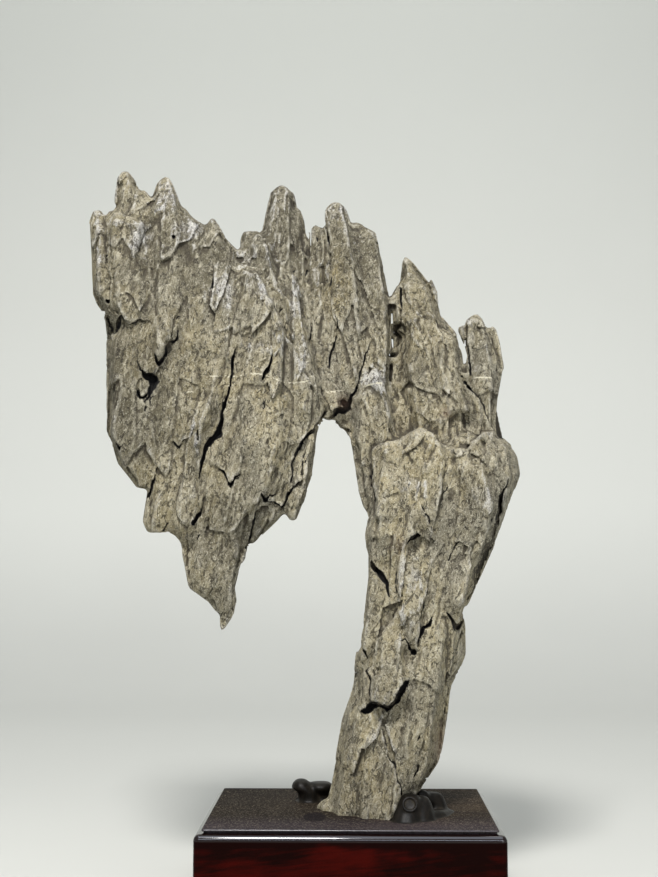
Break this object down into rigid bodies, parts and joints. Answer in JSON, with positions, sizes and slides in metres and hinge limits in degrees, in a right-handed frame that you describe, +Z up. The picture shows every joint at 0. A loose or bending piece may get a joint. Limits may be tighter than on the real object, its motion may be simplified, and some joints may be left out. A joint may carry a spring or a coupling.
{
  "type": "seiryu stone on stand",
  "caption": "Upright grey limestone of thin layered blades, a canopy hooked over from a slender pillar, set in a carved dark board on a red-black lacquered wooden plinth.",
  "frame": {"origin": "centre of the plinth's underside", "axes": "+Z up, -Y towards the front of the stone as it is shown, +X to the right seen from the front, along the stand's long side"},
  "size_m": [0.3848, 0.2, 0.6358],
  "materials": {
    "stone": "matte",
    "dark_hardwood": "satin",
    "lacquered_wood": "gloss"
  },
  "bodies": {
    "root": {"stone": "stone", "carved_board": "dark_hardwood", "plinth": "lacquered_wood"}
  },
  "joints": []
}
